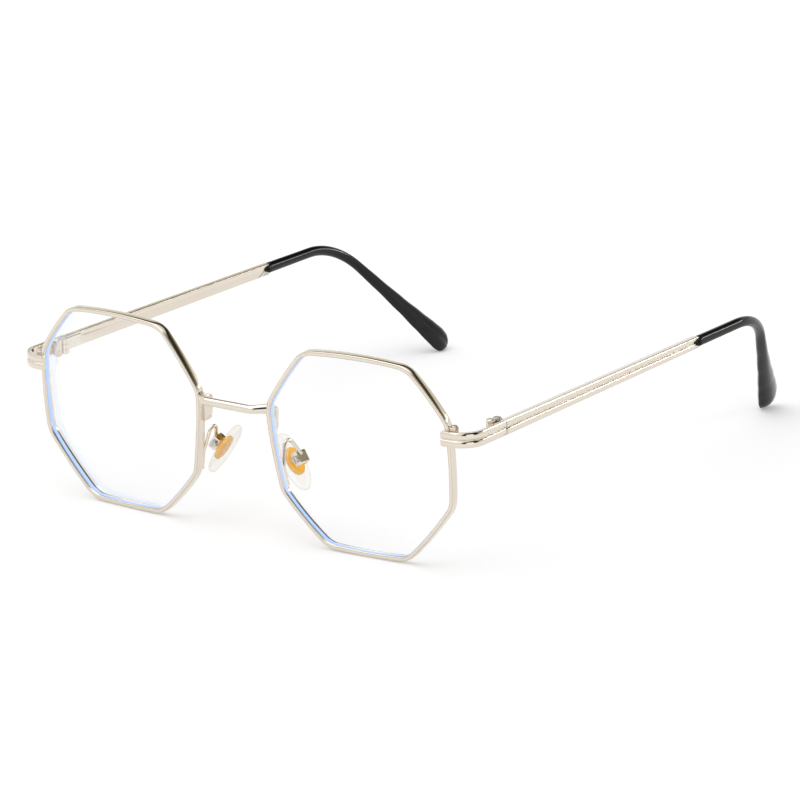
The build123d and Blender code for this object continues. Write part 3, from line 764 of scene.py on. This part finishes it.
class RimSizes(bpy.types.PropertyGroup):
    """Fine shape of the rims, bridge and lenses."""

    face: length("Face", "Width of the rim's front face", 0.0011)
    crown: length("Crown", "How far the face stands proud of its edges", 0.0001)
    line: length("Line", "Depth of the fine lines along the face", 0.00006)
    wire: length("Bridge wire", "Diameter of the bridge", 0.00198)
    flat_span: length("Bridge flat", "Length of the bridge's straight middle", 0.0132)
    forward: length("Bridge forward", "How far the bridge stands before its ends", 0.00252)
    brace: length("Brace", "Thickness of the plates beside the bridge", 0.0008)
    curve: length("Lens curve", "Radius of the lens's front", 0.2)
    thickness: length("Lens thickness", "Thickness of the lens", 0.0015)


class TempleSizes(bpy.types.PropertyGroup):
    """Fine shape of the end pieces, bars and tips."""

    endpiece_height: length("End piece height", "Height of the end piece at the rim", 0.00345)
    bar_height: length("Bar height", "Height of the bar at the hinge", 0.0035)
    bar_end_height: length("Bar end height", "Height of the bar at the tip", 0.0028)
    backing: length("Backing", "Extra thickness on the bar's inner side", 0.00035)
    crown: length("Rib crown", "How far the ribs stand out", 0.0003)
    tip_height: length("Tip height", "Height of the tip where it is widest", 0.007)
    tip_thickness: length("Tip thickness", "Thickness of the tip where it is widest", 0.0029)


class PadSizes(bpy.types.PropertyGroup):
    """Fine shape of the nose pads and their arms."""

    pad_width: length("Pad width", "Across the pad", 0.0071)
    pad_length: length("Pad length", "Along the pad", 0.0143)
    pad_thickness: length("Pad thickness", "Through the pad", 0.0018)
    core_width: length("Core width", "Across the amber core", 0.0048)
    core_length: length("Core length", "Along the amber core", 0.0068)
    wire: length("Arm wire", "Diameter of the pad arm", 0.0009)


class Looks(bpy.types.PropertyGroup):
    """Colours and gloss of the finished pieces."""

    metal: colour("Metal", "Pale gold of the rims, bridge and temples", (0.77, 0.70, 0.605))
    metal_roughness: bpy.props.FloatProperty(
        name="Metal roughness", description="How far the polish has dulled", subtype="FACTOR",
        min=0, max=1, default=0.12)
    screw: colour("Screws", "Colour of the screws and pins", (0.62, 0.60, 0.56))
    tip: colour("Tips", "Black of the temple tips", (0.004, 0.004, 0.005))
    tip_roughness: bpy.props.FloatProperty(
        name="Tip roughness", description="Gloss of the temple tips", subtype="FACTOR",
        min=0, max=1, default=0.06)
    lens_edge: colour("Lens edge", "Blue of the lens's ground edge", (0.38, 0.54, 1.0))
    pad: colour("Pads", "Clear plastic of the nose pads", (0.93, 0.88, 0.80))
    amber: colour("Pad cores", "Amber plastic in the nose pads", (1.0, 0.69, 0.12))


class Studio(bpy.types.PropertyGroup):
    """Camera, floor and light."""

    azimuth: bpy.props.FloatProperty(
        name="Azimuth", description="Way round the object from the front", subtype="ANGLE",
        default=math.radians(36.356))
    elevation: bpy.props.FloatProperty(
        name="Elevation", description="Height of the camera above the horizon", subtype="ANGLE",
        default=math.radians(16.643))
    roll: bpy.props.FloatProperty(
        name="Roll", description="Turn of the camera about its own line of sight", subtype="ANGLE",
        default=math.radians(-1.432))
    distance: length("Distance", "From the camera to the point at the middle of the picture", 1.1518)
    lens_mm: bpy.props.FloatProperty(
        name="Focal length", description="On a 36 mm sensor", unit="CAMERA", default=234.38)
    aim: bpy.props.FloatVectorProperty(
        name="Aim", description="The point at the middle of the picture", subtype="XYZ", unit="LENGTH",
        size=3, default=(0.04675, -0.07396, 0.039624))
    floor_size: length("Floor size", "Side of the square floor", 6.0, min=0.5)
    key_power: bpy.props.FloatProperty(
        name="Key light", description="Power of the large overhead light", unit="POWER", min=0, default=5.5)
    fill_power: bpy.props.FloatProperty(
        name="Fill light", description="Power of the side light", unit="POWER", min=0, default=1.1)
    strip_power: bpy.props.FloatProperty(
        name="Strip light", description="Power of the narrow light behind", unit="POWER", min=0, default=0.9)


GROUPS = {"glasses_rims": RimSizes, "glasses_temples": TempleSizes, "glasses_pads": PadSizes,
          "glasses_looks": Looks, "glasses_studio": Studio}


class GLASSES_OT_front(bpy.types.Operator):
    """Builds the rims, end pieces, brace plates and bridge and dresses the small metal parts"""

    bl_idname = "glasses.front"
    bl_label = "Front"

    def execute(self, context):
        scene = context.scene
        metal, steel = champagne_metal(scene.glasses_looks), screw_steel(scene.glasses_looks)
        shells = (("rim_ring", "rim", rim_shell(scene.glasses_rims)),
                  ("endpiece_strip", "endpiece", endpiece_shell(scene.glasses_temples)),
                  ("brace_tab", "brace_plate", brace_shell(scene.glasses_rims)))
        for side in SIDES:
            for piece, node, shell in shells:
                place_piece(f"{piece}_{side}", shell, metal, "front",
                            [f"{node}_{side}"], side)
        wire = bridge_shell(scene.glasses_rims)
        place_piece("bridge_wire", wire, metal, "front", ["bridge"])
        for name in ("rim_lock_upper", "rim_lock_lower", "hinge_front_leaf", "hinge_rear_leaf", "pad_box"):
            for node in both(name):
                soften(node, metal)
        for name in ("rim_lock_screw", "hinge_screw", "pad_screw"):
            for node in both(name):
                soften(node, steel)
        return {"FINISHED"}


class GLASSES_OT_lenses(bpy.types.Operator):
    """Builds the lenses"""

    bl_idname = "glasses.lenses"
    bl_label = "Lenses"

    def execute(self, context):
        glass = lens_glass(context.scene.glasses_looks)
        shell, values = lens_shell(context.scene.glasses_rims)
        for side in SIDES:
            place_piece(f"lens_glass_{side}", shell, glass, "front", [f"lens_{side}"], side,
                        values=values)
        return {"FINISHED"}


class GLASSES_OT_temples(bpy.types.Operator):
    """Builds the ribbed bars and the black tips"""

    bl_idname = "glasses.temples"
    bl_label = "Temples"

    def execute(self, context):
        scene = context.scene
        metal, black = champagne_metal(scene.glasses_looks), black_tip(scene.glasses_looks)
        bar, tip = bar_shell(scene.glasses_temples), tip_shell(scene.glasses_temples)
        for side in SIDES:
            body = f"temple_{side}_body"
            place_piece(f"temple_bar_{side}", bar, metal, body, [f"temple_{side}"], side)
            place_piece(f"tip_sleeve_{side}", tip, black, body, [f"temple_tip_{side}"], side,
                        sharp=60)
        return {"FINISHED"}


class GLASSES_OT_pads(bpy.types.Operator):
    """Builds the nose pads, their amber cores and their arms"""

    bl_idname = "glasses.pads"
    bl_label = "Nose pads"

    def execute(self, context):
        scene = context.scene
        sizes = scene.glasses_pads
        clear, amber = pad_plastic(scene.glasses_looks), pad_amber(scene.glasses_looks)
        metal = champagne_metal(scene.glasses_looks)
        for side in SIDES:
            body = f"pad_{side}_body"
            place_piece(f"pad_soft_{side}", pad_shell(sizes), clear, body,
                        [f"nose_pad_{side}"], side)
            place_piece(f"pad_core_{side}", core_shell(sizes), amber, body,
                        [f"pad_insert_{side}"], side)
            place_piece(f"pad_wire_{side}", arm_shell(sizes), metal, "front",
                        [f"pad_arm_{side}"], side)
        return {"FINISHED"}


class GLASSES_OT_studio(bpy.types.Operator):
    """Lays the floor, sets the lights and places the camera"""

    bl_idname = "glasses.studio"
    bl_label = "Studio"

    def execute(self, context):
        studio = context.scene.glasses_studio
        context.scene.view_settings.view_transform = "Standard"
        self.floor(studio)
        self.sky(context.scene)
        self.lamp("key", (-0.2, -0.3, 1.0), (0.0, 0.0, 0.0), 1.2, studio.key_power)
        self.lamp("fill", (1.0, -0.5, 0.4), (0.0, 0.0, 0.02), 0.6, studio.fill_power)
        self.lamp("strip", (0.62, 0.86, 0.4), (0.06, 0.05, 0.03), 0.5, studio.strip_power, 0.045)
        self.camera(context.scene, studio)
        return {"FINISHED"}

    def floor(self, studio):
        """Pale paper that glows a little more away from the object, to come out white."""
        mesh = bpy.data.meshes.new("floor")
        half = studio.floor_size / 2
        corners = [(-half, -half, 0), (half, -half, 0), (half, half, 0), (-half, half, 0)]
        mesh.from_pydata(corners, [], [(0, 1, 2, 3)])
        floor = bpy.data.objects.new("floor", mesh)
        bpy.context.scene.collection.objects.link(floor)
        material, f = new_material("floor_paper")
        paper = f.node("ShaderNodeBsdfDiffuse", {}, {"Color": (0.85, 0.85, 0.85, 1)})
        spot = f.node("ShaderNodeTexCoord", {}, {}, "Object")
        away = f.node("ShaderNodeVectorMath", {"operation": "LENGTH"}, {0: spot}, "Value")
        glow = f.node("ShaderNodeEmission", {}, {
            "Color": (1, 1, 1, 1), "Strength": f.direct() * (0.205 + away.rising(0.1, 8.0) * 0.1)})
        f.close("ShaderNodeOutputMaterial", f.node("ShaderNodeAddShader", {}, {0: paper, 1: glow}))
        dress(floor, material)

    def sky(self, scene):
        """White all round, with dark cards high up behind and beside the object for the metal to catch."""
        world = bpy.data.worlds.new("studio")
        scene.world = world
        f = Finish(world)
        toward = f.node("ShaderNodeTexCoord", {}, {}, "Generated")
        split = [f.node("ShaderNodeSeparateXYZ", {}, {"Vector": toward}, axis) for axis in ("X", "Y", "Z")]
        behind = split[1].rising(0.22, 6.0)
        # How high the metal looks, from the horizon up, and the card's colour there
        stops = [
            (0.0, (1, 1, 1)), (0.19, (1, 1, 1)), (0.27, (0.62, 0.60, 0.58)), (0.33, (0.62, 0.60, 0.55)),
            (0.37, (1.0, 0.97, 0.8)), (0.405, (1.0, 0.96, 0.74)), (0.46, (0.26, 0.24, 0.15)),
            (0.55, (0.03, 0.028, 0.015)), (0.67, (0.008, 0.008, 0.008)), (0.76, (1, 1, 1))]
        card = f.node("ShaderNodeValToRGB", {"stops": stops}, {"Fac": split[2]})
        seen = f.node("ShaderNodeLightPath", {}, {}, "Is Glossy Ray")
        tone = f.blend(behind * seen, (1, 1, 1, 1), card)
        before = ((0.35 - split[1]) * 8.0).clamped()
        aside = split[0].rising(0.4, 12.0) * split[2].rising(0.1, 8.0) * before
        tone = f.blend(aside * seen, tone, (0.01, 0.009, 0.006, 1))
        f.close("ShaderNodeOutputWorld", f.node("ShaderNodeBackground", {}, {
            "Color": tone, "Strength": 0.6 + f.direct() * 0.4}))

    def lamp(self, name, place, aim, size, power, height=None):
        data = bpy.data.lights.new(name, "AREA")
        data.size = size
        if height:
            data.shape, data.size_y = "RECTANGLE", height
        data.energy = power
        lamp = bpy.data.objects.new(name, data)
        bpy.context.scene.collection.objects.link(lamp)
        lamp.location = place
        lamp.rotation_mode = "QUATERNION"
        lamp.rotation_quaternion = (Vector(aim) - Vector(place)).to_track_quat("-Z", "Y")

    def camera(self, scene, studio):
        turn, rise, roll = studio.azimuth, studio.elevation, studio.roll
        level = math.cos(rise)
        forward = Vector((-math.sin(turn) * level, math.cos(turn) * level, -math.sin(rise)))
        right = Vector((math.cos(turn), math.sin(turn), 0))
        up = right.cross(forward)
        turned_right = right * math.cos(roll) + up * math.sin(roll)
        turned_up = -right * math.sin(roll) + up * math.cos(roll)
        data = bpy.data.cameras.new("camera")
        data.sensor_width = 36.0
        data.lens = studio.lens_mm
        data.clip_start, data.clip_end = 0.01, 20.0
        camera = bpy.data.objects.new("camera", data)
        scene.collection.objects.link(camera)
        camera.matrix_world = Matrix.LocRotScale(
            Vector(studio.aim) - forward * studio.distance,
            Matrix((turned_right, turned_up, -forward)).transposed(), None)
        scene.camera = camera


class GLASSES_PT_panel(bpy.types.Panel):
    """Lists the pieces and their settings"""

    bl_idname = "GLASSES_PT_panel"
    bl_label = "Eyeglasses"
    bl_space_type = "VIEW_3D"
    bl_region_type = "UI"
    bl_category = "Eyeglasses"

    def draw(self, context):
        for step in STEPS:
            self.layout.operator(step.bl_idname)
        for group in GROUPS:
            settings = getattr(context.scene, group)
            box = self.layout.box()
            for name in settings.bl_rna.properties.keys():
                if name not in ("rna_type", "name"):
                    box.prop(settings, name)


STEPS = (GLASSES_OT_front, GLASSES_OT_lenses, GLASSES_OT_temples, GLASSES_OT_pads, GLASSES_OT_studio)
CLASSES = (*GROUPS.values(), *STEPS, GLASSES_PT_panel)


def register():
    for made in CLASSES:
        bpy.utils.register_class(made)
    for group, kind in GROUPS.items():
        setattr(bpy.types.Scene, group, bpy.props.PointerProperty(type=kind))


def unregister():
    for group in GROUPS:
        delattr(bpy.types.Scene, group)
    for made in reversed(CLASSES):
        bpy.utils.unregister_class(made)


def main():
    register()
    bpy.ops.glasses.front()
    bpy.ops.glasses.lenses()
    bpy.ops.glasses.temples()
    bpy.ops.glasses.pads()
    bpy.ops.glasses.studio()
    bpy.context.view_layer.update()


if __name__ == "__main__":
    main()
